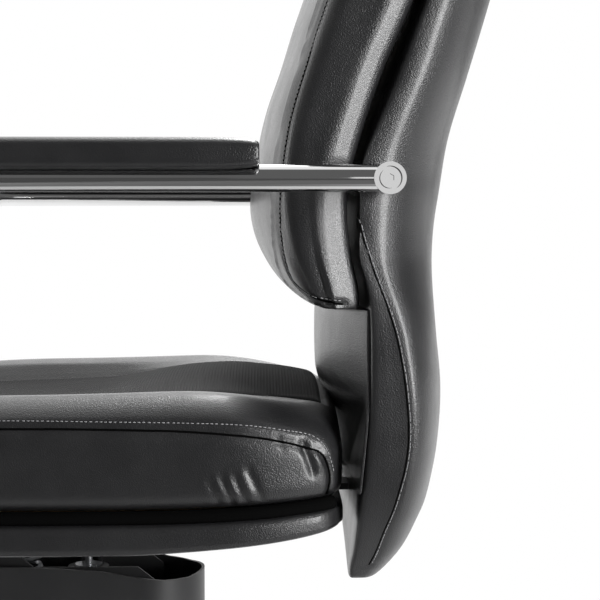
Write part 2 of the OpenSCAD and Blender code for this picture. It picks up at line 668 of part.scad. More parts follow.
// Back
crown_at = 0.84;
shell_wide = [[310, 196], [345, 214], [400, 229], [500, 238], [700, 238], [900, 236], [1040, 226], [1110, 216], [1180, 200]];
cushion_far_side = [[560, 268], [583, 266], [611, 260], [643, 256], [668, 256], [693, 260], [734, 272], [779, 288],
                    [837, 313], [900, 334], [960, 349], [1020, 358], [1080, 361], [1180, 358]];
cushion_near_side = [[560, 222], [588, 207], [619, 197], [670, 192], [693, 194], [734, 201], [781, 215], [836, 234],
                     [900, 255], [960, 272], [1020, 282], [1080, 286], [1180, 284]];
cushion_near_mid = [[560, 214], [588, 190], [617, 175], [642, 168], [668, 167], [726, 177], [758, 185], [795, 198],
                    [837, 211], [872, 223], [950, 246], [1020, 259], [1080, 263], [1180, 266]];
shell_near_side = [[310, 268], [345, 263], [390, 264], [418, 266], [474, 271], [540, 272], [575, 271]];
shell_far_side = [[310, 272], [332, 295], [351, 309], [375, 322], [400, 332], [440, 339], [490, 341], [543, 335],
                  [600, 333], [640, 335], [678, 340], [727, 351], [784, 368], [841, 385], [900, 401], [960, 414],
                  [1020, 422], [1080, 425], [1180, 420]];
lower_pad_near = [[400, 262], [430, 259], [456, 252], [480, 240], [500, 235], [570, 234]];
lower_pad_crown = 30;
shell_crown = 24;
arch_r = 440;
leg_bore_len = 60;
board_low_z = 398;
back_board_top_z = shell_top_z - 70;
back_board_half_w = 196;
pad_low_z = 404;
function cushion_far(t) = curve(t, cushion_far_side);
function shell_near(t) = t < 575 ? curve(t, shell_near_side)
    : max(curve(min(t, 611), [[575, 271], [590, 269], [611, 264]]), cushion_far(t) + back_gap + 3);
function shell_far(s, t) = curve(t, shell_far_side) + shell_crown * (1 - pow(s / crown_at, 2)) * min(1, (t - 290) / 90);
function shell_mid(t) = (shell_near(max(t, 420)) + curve(max(t, 420), shell_far_side)) / 2 + 2;
function wide_at(rows, t, scale) = curve(t, rows) * scale / 238;

module board_slab(grow) {
    pillow(board_low_z - grow, back_board_top_z + grow, function(t) back_board_half_w + grow,
           function(s, t) shell_mid(t) - back_board_t / 2 - grow, function(s, t) shell_mid(t) + back_board_t / 2 + grow,
           steps = 18, around = 12, near_k = 30, far_k = 30, top_k = 30, nip = 0, end_angle = 60);
}
module back_board() {
    color(wood_colour) difference() {
        board_slab(0);
        leg_bolt_bores();
    }
}
leg_bolt_ys = [leg_front + 14, leg_front + 70];
leg_bolt_zs = [board_low_z + 24, board_low_z + 92];
leg_rear_y = 291;
leg_top_z = board_low_z + 110;
module leg_bolt_bores(r = seat_bolt_d / 2 + bolt_clear) {
    for (x = [-1, 1], z = leg_bolt_zs) translate([x * leg_x, leg_rear_y - 8, z]) rotate([-90, 0, 0])
        cylinder(r = r, h = leg_bore_len);
}
module back_shell() {
    color(leather_colour) difference() {
        pillow(shell_low_z, shell_top_z, function(t) wide_at(shell_wide, t, shell_half_w),
               function(s, t) shell_near(t), function(s, t) shell_far(s, t),
               steps = 34, around = 32, near_k = 7, far_k = 3.2, top_k = 6, nip = 0.10);
        translate([0, boss_y - through / 2, shell_low_z + arch_h - arch_r]) rotate([-90, 0, 0])
            cylinder(r = arch_r, h = through, $fn = 180);
        board_slab(soft_gap);
        for (x = [-1, 1]) translate([x * leg_x - leg_w / 2 - 1, 200, leg_z - 1])
            cube([leg_w + 2, leg_rear_y + leg_t + 10 - 200, leg_top_z - leg_z + 2]);
        for (x = [-1, 1], z = leg_bolt_zs) translate([x * leg_x, leg_rear_y, z]) rotate([-90, 0, 0])
            cylinder(r = seat_bolt_d / 2 + bolt_clear, h = 36);
        for (side = [-1, 1]) translate([side * (shell_half_w + 10), boss_y, arm_z]) rotate([0, -90 * side, 0])
            cylinder(r = screw_d / 2 + bolt_clear, h = screw_len);
    }
}
module lower_back_pad() {
    color(leather_colour)
        pillow(pad_low_z, cushion_low_z - soft_gap, function(t) shell_half_w - 8,
               function(s, t) min(curve(t, lower_pad_near) + lower_pad_crown * s * s, shell_near(t) - 4),
               function(s, t) shell_near(t) - 2 * soft_gap, steps = 10, around = 28, near_k = 4, far_k = 12, top_k = 8,
               nip = 0.02);
}
module back_cushion() {
    color(leather_colour)
        pillow(cushion_low_z, shell_top_z - cushion_top_drop, function(t) wide_at(shell_wide, t, cushion_half_w),
               function(s, t) curve(t, cushion_near_side) * s * s + curve(t, cushion_near_mid) * (1 - s * s),
               function(s, t) cushion_far(t), steps = 30, around = 34, near_k = 7, far_k = 8, top_k = 5, nip = 0.10);
}
module back_bracket() {
    leg_rear_top = leg_rear_y + leg_t;
    color(steel_colour) for (x = [-1, 1]) difference() {
        union() {
            translate([x * leg_x - leg_w / 2, leg_front, leg_z]) cube([leg_w, leg_rear_top - leg_front, leg_t]);
            translate([x * leg_x - leg_w / 2, leg_rear_y, leg_z]) cube([leg_w, leg_t, leg_top_z - leg_z]);
        }
        for (y = leg_bolt_ys) translate([x * leg_x, y, leg_z - 1]) cylinder(r = seat_bolt_d / 2 + bolt_clear, h = leg_t + 2);
        leg_bolt_bores();
    }
}
module bracket_bolts() {
    color(steel_colour) for (x = [-1, 1]) {
        for (y = leg_bolt_ys) translate([x * leg_x, y, leg_z + leg_t]) {
            translate([0, 0, -leg_t - board_t + 1]) cylinder(d = seat_bolt_d, h = leg_t + board_t - 1);
            cylinder(r = seat_bolt_d * 0.85, h = 4);
        }
        for (z = leg_bolt_zs) translate([x * leg_x, leg_rear_y, z]) rotate([-90, 0, 0])
            translate([0, 0, -4]) {
                cylinder(r = seat_bolt_d * 0.85, h = 4);
                cylinder(d = seat_bolt_d, h = 26);
            }
    }
}

// Arms
screw_d = 8;
screw_len = 66;
boss_out_x = arm_x + boss_d / 2 - 1;
boss_in_x = shell_half_w + soft_gap;
recess_r = 10;
recess_depth = 6;
bend_r = 70;
bend_angle = 105;
foot_bend_r = 45;
arm_low_z = seat_under_z - 5 - arm_tube_d / 2;
bend_low_y = -arm_front + bend_r - bend_r * sin(bend_angle);
bend_low_z = arm_z - bend_r + bend_r * cos(bend_angle);
upright_len = (bend_low_z - arm_low_z) / sin(bend_angle) - foot_bend_r;
arm_foot_y = bend_low_y - (upright_len + foot_bend_r) * cos(bend_angle);
foot_run = arm_x - foot_bend_r - arm_foot_x + 28;
module arm_route(r) {
    swept(route([arm_x, boss_y, arm_z], [0, -1, 0], [1, 0, 0], [
        ["line", boss_y + arm_front - bend_r], ["bend", bend_r, bend_angle, [0, 0, -1]],
        ["line", upright_len], ["bend", foot_bend_r, 90, [-1, 0, 0]], ["line", foot_run]]), r, 24);
}
module arm_loop() {
    foot_z = seat_under_z - 5;
    color(chrome_colour) difference() {
        union() {
            arm_route(arm_tube_d / 2);
            translate([boss_in_x, boss_y, arm_z]) rotate([0, 90, 0]) cylinder(d = boss_d, h = boss_out_x - boss_in_x);
            translate([arm_foot_x - arm_foot_w / 2, arm_foot_y - arm_foot_d / 2, foot_z - 1])
                cube([arm_foot_w, arm_foot_d, seat_under_z - foot_z + 0.9]);
        }
        translate([boss_in_x - 1, boss_y, arm_z]) rotate([0, 90, 0])
            cylinder(r = screw_d / 2 + bolt_clear, h = arm_x);
        translate([boss_out_x - recess_depth, boss_y, arm_z]) rotate([0, 90, 0]) cylinder(r = recess_r, h = arm_x);
        for (y = [-1, 1]) translate([arm_foot_x, arm_foot_y + y * arm_bolt_y, 0])
            cylinder(r = arm_bolt_d / 2 + bolt_clear, h = seat_under_z);
    }
}
module arm_loop_left() { arm_loop(); }
module arm_loop_right() { mirror([1, 0, 0]) arm_loop(); }
module arm_pad() {
    low = arm_z + arm_tube_d / 2 - 5;
    color(leather_colour) difference() {
        translate([arm_x, 0, 0]) pillow(-pad_front, pad_rear, function(t) pad_half_w, function(s, t) low,
            function(s, t) low + pad_t, along = "y", steps = 10, around = 24, near_k = 5, far_k = 3.6, top_k = 8, nip = 0.3);
        translate([arm_x, 400, arm_z]) rotate([90, 0, 0]) cylinder(r = arm_tube_d / 2 + soft_gap, h = 800);
    }
}
module arm_pad_left() { arm_pad(); }
module arm_pad_right() { mirror([1, 0, 0]) arm_pad(); }
module boss_screws() {
    head_h = 5;
    seat_x = boss_out_x - recess_depth;
    color(chrome_colour) for (side = [0, 1]) mirror([side, 0, 0]) translate([seat_x, boss_y, arm_z]) rotate([0, 90, 0])
        difference() {
            union() {
                cylinder(r = recess_r - 1.6, h = head_h);
                translate([0, 0, -screw_len]) cylinder(d = screw_d, h = screw_len + 1);
            }
            translate([0, 0, head_h - 3]) cylinder(r = 3.6, h = 4, $fn = 6);
        }
}
module arm_bolts() {
    color(steel_colour) for (x = [-1, 1], y = [-1, 1])
        translate([x * arm_foot_x, arm_foot_y + y * arm_bolt_y, 0]) bolt_up(seat_under_z - 6, panel_top_z - 2, arm_bolt_d);
}

star_base();
gas_outer_tube();
guide_bush();
thrust_bearing();
lower_cover();
middle_cover();
upper_cover();
piston_rod();
rod_clip();
gas_cylinder();
release_pin();
mechanism_housing();
mechanism_cover();
tilt_axle();
tilt_spring();
tension_bolt();
tension_knob();
lever_pin();
lever_rod();
lever_handle();
seat_plate();
seat_bolts();
seat_board();
base_panel();
seat_cushion();
centre_panel();
back_bracket();
bracket_bolts();
back_board();
back_shell();
back_cushion();
lower_back_pad();
arm_loop_left();
arm_loop_right();
arm_pad_left();
arm_pad_right();
boss_screws();
arm_bolts();
caster_hood(1);  // caster_hood_1
caster_stem(1);  // caster_stem_1
caster_axle(1);  // caster_axle_1
caster_wheels(1);  // caster_wheels_1
caster_hood(2);  // caster_hood_2
caster_stem(2);  // caster_stem_2
caster_axle(2);  // caster_axle_2
caster_wheels(2);  // caster_wheels_2
caster_hood(3);  // caster_hood_3
caster_stem(3);  // caster_stem_3
caster_axle(3);  // caster_axle_3
caster_wheels(3);  // caster_wheels_3
caster_hood(4);  // caster_hood_4
caster_stem(4);  // caster_stem_4
caster_axle(4);  // caster_axle_4
caster_wheels(4);  // caster_wheels_4
caster_hood(5);  // caster_hood_5
caster_stem(5);  // caster_stem_5
caster_axle(5);  // caster_axle_5
caster_wheels(5);  // caster_wheels_5
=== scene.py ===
"""Looks of an executive office chair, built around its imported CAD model.

Outlines are in millimetres, as in the CAD source, and meshes in metres. The chair faces -Y, and
the camera stands on the sitter's left, at +X.
"""

import json
import math

import bpy
import numpy as np
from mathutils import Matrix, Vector
from mathutils.bvhtree import BVHTree
from mathutils.kdtree import KDTree


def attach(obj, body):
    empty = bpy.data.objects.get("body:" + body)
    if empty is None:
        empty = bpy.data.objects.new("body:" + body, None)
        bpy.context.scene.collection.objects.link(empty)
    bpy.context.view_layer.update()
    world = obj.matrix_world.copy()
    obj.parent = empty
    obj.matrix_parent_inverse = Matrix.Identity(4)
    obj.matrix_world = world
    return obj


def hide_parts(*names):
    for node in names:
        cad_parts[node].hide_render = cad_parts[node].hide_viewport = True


MM = 0.001

# Camera, from the vanishing points and known sizes in the photograph: place in metres, lens and
# sensor in millimetres, and how far it turns from the -X axis and dips, in degrees
CAMERA_AT = (1.510, 0.180, 0.631)
CAMERA_LENS = 87.84
CAMERA_SENSOR = 36
CAMERA_YAW = 1.485
CAMERA_PITCH = 2.503

# Lamps: name, place, the place they point at, width and height in metres, power in watts
LAMPS = [
    ("side", (1.75, 2.15, 0.9), (0.2, 0.3, 0.7), (0.72, 1.6), 76),
    ("overhead", (-1.7, 0.6, 2.2), (0.1, 0.1, 0.5), (1.0, 1.0), 28),
    ("front", (-0.9, -2.4, 0.8), (0, 0.2, 0.7), (0.5, 1.6), 8.5),
    ("boss_card", (3.0, 0.52, 0.786), (0.289, 0.286, 0.679), (0.2, 0.2), 0.075)]

# Strength of the studio's light from each side, and what mirrors see of it besides
WORLD_FILL = 0.11
WORLD_BEYOND = 0.6
WORLD_ABOVE = 0.45
WORLD_AHEAD = 0.16
MIRROR_GAIN = 0.7

# Floor: its size, where it turns dark towards the camera, where it turns white round the chair,
# its two shades, and how pale the dark part is to light that neither a mirror nor the camera sees
FLOOR_SIZE = 40.0
FLOOR_DARK_FROM, FLOOR_DARK_TO = 0.45, 0.8
FLOOR_WHITE_FROM, FLOOR_WHITE_TO = 0.55, 0.95
FLOOR_DARK = (0.1, 0.1, 0.1)
FLOOR_PALE = (0.86, 0.86, 0.86)
FLOOR_MATT_SHARE = 0.45

# A cushion form reaches its stated length at this angle of its closing curve, as in the CAD
# source, and its mesh goes on to the second angle
END_ANGLE = math.radians(78)
LAST_ANGLE = math.radians(89)

# Distance between the points of a line on a surface, and where the lines are looked for on the
# chair's sides: from outside it, down to what still counts as its side
LINE_STEP = 1.0
PROBE_FROM_X = 0.45
PROBE_TO_X = 0.1

# How far apart points may be and still count as one, and the least angle of a kept sharp edge
STITCH_WELD = 0.01
CAD_WELD = 0.02
SHARP_EDGE = math.radians(35)

# Seat outlines
SEAT_HALF_W = 250
SEAT_FRONT = -250
SEAT_BACK = 250
BASE_HALF_W = 246
PANEL_TOP_Z = 385
BOLSTER_TOP_Z = 495
SOFT_GAP = 0.3
CENTRE_HALF_W = 148
CENTRE_FRONT = -220
CENTRE_REAR = 236
CENTRE_T = 5
SEAT_TOP_ABOVE = 40

# Ribbed panel's edge: depth and width of its seam in the leather, how far the panel stands proud,
# how far and over what width its edge rolls down, and over what width the leather sinks under it
CENTRE_SEAM_DEPTH = 2.4
CENTRE_SEAM_W = 5
CENTRE_PROUD = 0.6
CENTRE_EDGE_DROP = 3.4
CENTRE_EDGE_W = 9.0
CENTRE_SINK_W = 6.0

# Seat tables of [place along Y, value] rows, but those of DISH are [share across, drop]
REAR_RISE = [[-260, 0], [50, 0], [115, 1], [180, 4], [245, 9], [260, 10]]
PANEL_LOW = [[-260, 355], [-200, 351], [-130, 350], [60, 350], [115, 353], [171, 358], [217, 363.5],
             [260, 371]]
CREST = [[-260, -40], [-225, -23], [-170, -13], [-100, -8], [0, -6], [42, -5], [110, -3], [135, -3.6],
         [160, -5], [185, -7.2], [213, -9], [237, -8], [260, -7]]
DISH = [[0, 10.8], [0.3, 9.9], [0.592, 7.2], [0.7, -0.2], [0.8, -6.8], [0.86, -8.2], [0.92, -6.9],
        [0.96, -5.6], [1, -5.5]]
DISH_SHARE = [[-260, 1.7], [-120, 2.3], [9, 2.1], [39, 1.75], [85, 1.05], [131, 0.7], [170, 0.6], [185, 0.4],
              [213, 0.05], [260, 0]]
RIDGE_SHARE = [[-260, 1], [130, 1], [160, 0.85], [185, 0.65], [213, 0.35], [240, 0.1], [260, 0]]
CENTRE_CROWN = [[-260, 0], [-150, 0], [-60, 3], [9, 6.4], [52, 11], [120, 13], [154, 15.4], [170, 15.4],
                [185, 13.6], [213, 10.1], [237, 7.4], [260, 5]]

# How square the seat's form is, what its ends lose in width, and its rear corners
SEAT_FAR_K = 4
SEAT_END_K = 6
SEAT_NIP = 0.04
SEAT_FAR_NIP = 0.8
CORNER_START = 150
CORNER_CURVE = 0.0027
CORNER_R = 20

# Near-black tube of painted shade in the groove between cushion and base: its radius, how far inside it lies
# and what its ends leave
GROOVE_R = 6.0
GROOVE_IN = 7
GROOVE_SPARE_FRONT = 12
GROOVE_SPARE_REAR = 6

# Lines on the seat's side, as (Y, Z) points
SEAT_SEAM = [(-243, 398), (-241, 416), (-236, 432), (-222, 445), (-194, 455), (-140, 462), (-60, 465),
             (50, 464), (114, 462), (163, 458), (194, 453), (222, 445), (233, 440), (239, 428), (241, 416),
             (238, 400)]
SEAT_TOP_STITCH = [(-246, 417), (-240, 436), (-226, 450), (-197, 461), (-140, 468), (-60, 471), (49, 470),
                   (114, 469), (163, 467), (197, 462), (225, 455), (236, 444), (242, 428), (244, 417)]

# Folds in the leather of the seat's side: a (Y, Z) line, its depth and its width. A depth below 0
# stands out
SEAT_FOLDS = [
    ([(134, 418), (143, 398)], 1.6, 2.2), ([(145, 421), (155, 398)], 2.2, 2.2),
    ([(156.5, 422), (166, 400)], 2.2, 2.2), ([(168, 428), (180, 402)], 2.2, 2.4),
    ([(216, 450), (225, 424)], 2.6, 3.2), ([(194, 456), (198, 447)], 1.2, 2.6),
    ([(150.5, 421), (160, 400)], -0.9, 2.0), ([(162, 424), (172, 402)], -1.0, 2.2),
    ([(140, 420), (149, 400)], -0.8, 2.0), ([(223, 448), (231, 428)], -0.9, 2.6)]

# Back outlines. A table has [height, value] rows. The value is a place along Y, but BACK_WIDTH and
# SHELL_HALF have half-widths, SHELL_SQUARE how square the side is, and LEAN_START how far before the
# cushion's rear the lean begins
SHELL_LOW_Z = 321
SHELL_TOP_Z = 1150
CUSHION_LOW_Z = 567
CUSHION_TOP_Z = 1140
CUSHION_HALF_W = 237
BACK_WIDTH_AT = 238
BACK_WIDTH = [[310, 196], [345, 214], [400, 229], [500, 238], [700, 238], [900, 236], [1040, 226],
              [1110, 216], [1180, 200]]
CUSHION_FAR = [[560, 268], [583, 266], [611, 260], [643, 256], [668, 256], [693, 260], [734, 272], [779, 288],
               [837, 313], [900, 334], [960, 349], [1020, 358], [1080, 361], [1180, 358]]
CUSHION_NEAR_SIDE = [[560, 222], [588, 207], [619, 197], [670, 192], [693, 194], [734, 201], [781, 215],
                     [836, 234], [900, 255], [960, 272], [1020, 282], [1080, 286], [1180, 284]]
CUSHION_NEAR_MID = [[560, 214], [588, 190], [617, 175], [642, 168], [668, 167], [726, 177], [758, 185],
                    [795, 198], [837, 211], [872, 223], [950, 246], [1020, 259], [1080, 263], [1180, 266]]
SHELL_NEAR = [[310, 256], [330, 257], [348, 260], [390, 264], [418, 267], [474, 272], [540, 273], [575, 272],
              [590, 270], [611, 264]]
SHELL_FAR = [[310, 290], [332, 311], [351, 321], [375, 327], [400, 332], [440, 338], [490, 341], [543, 337],
             [600, 335], [640, 337], [678, 343], [727, 351], [784, 368], [841, 385], [900, 401], [960, 414],
             [1020, 422], [1080, 425], [1180, 420]]
SHELL_WAIST = [[310, 268], [334, 276], [349, 283], [367, 289], [388, 297], [409, 302], [431, 306], [456, 308],
               [488, 306], [517, 302], [546, 296], [568, 287], [595, 273], [628, 262], [662, 261], [700, 272],
               [732, 287], [775, 307], [819, 322], [880, 344], [960, 366], [1080, 378], [1180, 376]]
SHELL_HALF = [[310, 190], [345, 210], [400, 226], [480, 235], [560, 235], [640, 229], [900, 227], [1040, 217],
              [1110, 207], [1180, 192]]
SHELL_SQUARE = [[310, 16], [540, 16], [600, 8], [660, 3.6], [1180, 3.6]]
SHELL_CROWN = 14
CROWN_START_Z = 290
CROWN_REACH = 90
SHELL_STEP_Z = 575
SHELL_GAP = 3.6
WAIST_AHEAD = 1
WAIST_MARGIN = 2
LEAN_SLOPE = 0.47
LEAN_FLAT = 18
LEAN_START_X = 150
LEAN_BLEND = 60
LEAN_START = [[560, 42], [640, 38], [700, 29], [780, 27], [1180, 27]]
ARCH_RADIUS = 440
ARCH_HEIGHT = 40
ARCH_REACH = 120
LOWER_PAD_NEAR = [[400, 262], [430, 259], [456, 252], [480, 240], [500, 235], [570, 234]]
LOWER_PAD_LOW_Z = 404
LOWER_PAD_CROWN = 38
LOWER_PAD_HALF_W = 231

# Lines on the back's side, as (Y, Z) points, and how far behind its ridge the piping's near-black line of
# painted shade lies
CUSHION_PIPING = [(284, 960), (257, 900), (230, 838), (213, 782), (199, 734), (191, 697), (189, 670),
                  (189, 640), (192, 613), (200, 591), (214, 577), (228, 571)]
PIPING_SHADE_AT = 3.4
CUSHION_SEAM = [(289, 960), (262, 900), (236, 836), (218, 781), (204, 734), (197, 693), (195, 670),
                (195, 640), (199, 612), (207, 591), (221, 578), (236, 573), (252, 571)]
WING_SEAM = [(263, 652), (269, 628), (280, 595), (290, 568), (297, 546), (303, 517), (307, 488), (309, 456),
             (307, 431), (302, 409), (296, 388), (288, 367), (282, 349), (276, 334)]

# Arms
ARM_X = 289
ARM_Z = 679
ARM_TUBE_R = 11.5
PAD_FRONT = -135
PAD_REAR = 177
PAD_HALF_W = 29
PAD_T = 27
PAD_SADDLE = 5


def curve(rows):
    """A smooth function through [place, value] rows, the same curve as in the CAD source."""
    place, value = np.array(rows, float).T
    slope = np.empty_like(value)
    slope[1:-1] = (value[2:] - value[:-2]) / (place[2:] - place[:-2])
    slope[0] = (value[1] - value[0]) / (place[1] - place[0])
    slope[-1] = (value[-1] - value[-2]) / (place[-1] - place[-2])

    def at(t):
        i = np.clip(np.searchsorted(place, t, side="right") - 1, 0, len(place) - 2)
        d = place[i + 1] - place[i]
        u = np.clip((t - place[i]) / d, 0, 1)
        flat = value[i] * (2 * u**3 - 3 * u**2 + 1) + value[i + 1] * (3 * u**2 - 2 * u**3)
        return flat + slope[i] * d * (u**3 - 2 * u**2 + u) + slope[i + 1] * d * (u**3 - u**2)

    return at


def band(width, depth, near_k, far_k, around):
    """Points (s, v) round a rounded band, evenly spaced for a half-width and half-depth."""
    points = []
    for k, sign in ((far_k, 1), (near_k, -1)):
        a = np.radians(np.linspace(0, 180, 721)[:-1] + (0 if sign > 0 else 180))
        s = np.sign(np.cos(a)) * np.abs(np.cos(a)) ** (2 / k)
        v = np.sign(np.sin(a)) * np.abs(np.sin(a)) ** (2 / k)
        points.append(np.stack([s, v], 1))
    ring = np.concatenate(points)
    closed = np.concatenate([ring, ring[:1]])
    step = np.linalg.norm(np.diff(closed, axis=0) * (width, depth), axis=1)
    length = np.concatenate([[0], np.cumsum(step)])
    wanted = (np.arange(around) + 0.5) / around * length[-1]
    return np.interp(wanted, length, closed[:, 0]), np.interp(wanted, length, closed[:, 1])


def mesh_object(name, points, faces):
    """A smooth-shaded mesh object from points in millimetres."""
    mesh = bpy.data.meshes.new(name)
    mesh.from_pydata((np.asarray(points) * MM).tolist(), [], faces)
    mesh.validate()
    mesh.update()
    mesh.shade_smooth()
    made = bpy.data.objects.new(name, mesh)
    bpy.context.scene.collection.objects.link(made)
    return made


def pillow(name, t0, t1, wide, near, far, along="z", steps=80, around=140, near_k=4, far_k=4, top_k=4,
           low_k=None, under_k=None, waist=None, nip=0.12, far_nip=0.0, near_square=None, depth=50,
           shape=None):
    """A closed cushion form between two surfaces, the CAD source's form with many more points.
    near_k and far_k set how square the two halves of the sides are, and top_k the ends. low_k is the
    same for the first end and under_k for the near half's ends, where they differ. nip is the width
    lost at the ends, and far_nip what the far half loses besides. waist gives the place of the
    widest line, which is else half-way. near_square gives near_k along the form, where it isn't the
    same all along. depth is the half-thickness that the points are spaced for, and shape moves the
    finished points."""
    mid, half = (t0 + t1) / 2, (t1 - t0) / 2
    u = np.sin(np.linspace(-math.pi / 2, math.pi / 2, steps + 1))
    end_k = np.where(u < 0, low_k or top_k, top_k)
    reach = math.sin(END_ANGLE) ** (2 / end_k)
    u = u * math.sin(LAST_ANGLE) ** (2 / end_k)
    full = (1 - np.abs(u) ** end_k) ** (1 / end_k)
    full_under = (1 - np.abs(u) ** under_k) ** (1 / under_k) if under_k else full
    s, v = band(np.max(wide(np.array([mid]))), depth, near_k, far_k, around)
    t = (mid + half * u / reach)[:, None] + 0 * s[None, :]
    s, v = s[None, :] + 0 * t, v[None, :] + 0 * t
    if near_square:
        power = np.where(v < 0, near_k / near_square(t), 1)
        s, v = np.sign(s) * np.abs(s) ** power, np.sign(v) * np.abs(v) ** power
    n = near(s, t)
    f = far(s, t)
    fullness = np.where(v < 0, full_under[:, None], full[:, None])
    nips = nip + far_nip * np.maximum(v, 0) ** 1.5
    x = wide(t) * s * (1 - nips * (1 - fullness))
    middle = waist(t) if waist else (n + f) / 2
    y = middle + np.where(v < 0, middle - n, f - middle) * v * fullness
    points = np.stack([x, y, t] if along == "z" else [x, t, y], -1).reshape(-1, 3)
    if shape:
        points = shape(points)
    faces = []
    for i in range(steps):
        for j in range(around):
            a, b = i * around + j, i * around + (j + 1) % around
            quad = [a, b, b + around, a + around]
            faces.append(quad if along == "z" else quad[::-1])
    ends = [list(range(around))[::-1], [steps * around + j for j in range(around)]]
    faces += ends if along == "z" else [e[::-1] for e in ends]
    return mesh_object(name, points, faces)


def even_path(points):
    """Points in millimetres along a smooth line through the given ones, evenly spaced."""
    points = np.asarray(points, float)
    place = np.concatenate([[0], np.cumsum(np.linalg.norm(np.diff(points, axis=0), axis=1))])
    fine = np.linspace(0, place[-1], 40 * len(points))
    smooth = np.stack([curve(np.stack([place, points[:, k]], 1))(fine) for k in range(points.shape[1])], 1)
    length = np.concatenate([[0], np.cumsum(np.linalg.norm(np.diff(smooth, axis=0), axis=1))])
    wanted = np.arange(0, length[-1], LINE_STEP)
    return np.stack([np.interp(wanted, length, smooth[:, k]) for k in range(points.shape[1])], 1)


def surface(piece):
    """A search tree of the piece's faces."""
    depsgraph = bpy.context.evaluated_depsgraph_get()
    return BVHTree.FromObject(piece, depsgraph)


def on_side(tree, path, side):
    """Where a (Y, Z) path in millimetres meets the side surface: points in millimetres, and normals."""
    found, normals = [], []
    for y, z in even_path(path):
        start = Vector((side * PROBE_FROM_X, y * MM, z * MM))
        hit, normal, _, _ = tree.ray_cast(start, Vector((-side, 0, 0)))
        if hit is not None and side * hit.x > PROBE_TO_X:
            found.append(np.array(hit) / MM)
            normals.append(np.array(normal))
    return np.array(found), np.array(normals)


def press(piece, line, depth, width):
    """Presses a soft groove into the piece along a line of points, or a ridge out of it where the
    depth is below 0, all in millimetres."""
    reach = 2.5 * width
    tree = KDTree(len(line))
    for i, p in enumerate(line):
        tree.insert(Vector(p * MM), i)
    tree.balance()
    moves = []
    for vertex in piece.data.vertices:
        distance = tree.find(vertex.co)[2] / MM
        if distance < reach:
            share = math.exp(-((distance / width) ** 2))
            moves.append((vertex.index, vertex.normal * (-depth * MM * share)))
    for index, move in moves:
        piece.data.vertices[index].co += move
    piece.data.update()


def tube(name, line, radius, sides=8):
    """A thin rod along a line of points in millimetres."""
    line = np.asarray(line)
    ahead = np.gradient(line, axis=0)
    ahead /= np.linalg.norm(ahead, axis=1)[:, None]
    aslant = [0.31, 0.52, 0.80]
    up = np.cross(ahead, aslant)
    up /= np.linalg.norm(up, axis=1)[:, None]
    across = np.cross(ahead, up)
    points, faces = [], []
    for j in range(sides):
        a = 2 * math.pi * j / sides
        points.append(line + radius * (math.cos(a) * up + math.sin(a) * across))
    points = np.stack(points, 1).reshape(-1, 3)
    last = len(line) - 1
    for i in range(last):
        for j in range(sides):
            a, b = i * sides + j, i * sides + (j + 1) % sides
            faces.append([a, a + sides, b + sides, b])
    faces.append(list(range(sides)))
    faces.append([last * sides + j for j in range(sides)][::-1])
    return mesh_object(name, points, faces)


def stitches(name, line, normals, offset=0.0, pitch=4.2, length=2.7, radius=0.42, lift=0.1):
    """Short rounded threads along a line on a surface, all in millimetres."""
    line = np.asarray(line)
    along = np.gradient(line, axis=0)
    along /= np.linalg.norm(along, axis=1)[:, None]
    beside = np.cross(along, normals)
    place = np.concatenate([[0], np.cumsum(np.linalg.norm(np.diff(line, axis=0), axis=1))])
    ring = [(-0.5, 0), (-0.42, 0.75), (-0.2, 1), (0.2, 1), (0.42, 0.75), (0.5, 0)]
    sides = 6
    points, faces = [], []
    for start in np.arange(pitch, place[-1] - pitch, pitch):
        i = int(np.searchsorted(place, start))
        middle = line[i] + beside[i] * offset + normals[i] * lift
        base = len(points)
        for t, r in ring:
            for j in range(sides):
                a = 2 * math.pi * j / sides
                side = math.cos(a) * beside[i] + math.sin(a) * normals[i]
                points.append(middle + along[i] * t * length + side * r * radius)
        for k in range(len(ring) - 1):
            for j in range(sides):
                a, b = base + k * sides + j, base + k * sides + (j + 1) % sides
                faces.append([a, b, b + sides, a + sides])
    made = mesh_object(name, points, faces)
    weld = made.modifiers.new("weld", "WELD")
    weld.merge_threshold = STITCH_WELD * MM
    return made


# Materials


def new_material(name):
    """An empty node material: (material, its tree, its Principled shader)."""
    material = bpy.data.materials.new(name)
    material.use_nodes = True
    return material, material.node_tree, material.node_tree.nodes["Principled BSDF"]


def feed(tree, node, inputs):
    """Links the sockets among the inputs' values to a node, and sets the plain values."""
    for key, value in inputs.items():
        if isinstance(value, bpy.types.NodeSocket):
            tree.links.new(value, node.inputs[key])
        else:
            node.inputs[key].default_value = value


def add(tree, kind, inputs=None, **settings):
    """Adds a node, sets its properties and feeds its inputs."""
    node = tree.nodes.new(kind)
    for key, value in settings.items():
        setattr(node, key, value)
    feed(tree, node, inputs or {})
    return node


def maths(tree, operation, *values, clamp=False):
    """The output of a math node over sockets and numbers."""
    node = add(tree, "ShaderNodeMath", dict(enumerate(values)), operation=operation, use_clamp=clamp)
    return node.outputs[0]


def between(tree, value, start, end, first, last, **settings):
    """A socket that goes from first to last while another one goes from start to end."""
    inputs = {"Value": value, "From Min": start, "From Max": end, "To Min": first, "To Max": last}
    return add(tree, "ShaderNodeMapRange", inputs, **settings).outputs[0]


def rise(tree, value, start, end, height):
    """A smooth step from 0 to a height while a socket's value goes from start to end."""
    low, high = min(start, end), max(start, end)
    first, last = (0.0, height) if end > start else (height, 0.0)
    return between(tree, value, low, high, first, last, interpolation_type="SMOOTHSTEP")


def surface_point(tree):
    """The point on the surface, in metres in its piece's own frame."""
    return add(tree, "ShaderNodeTexCoord").outputs["Object"]


def noise(tree, where, scale, detail):
    """A cloudy pattern, around 0.5."""
    return add(tree, "ShaderNodeTexNoise", {"Vector": where, "Scale": scale, "Detail": detail}).outputs["Fac"]


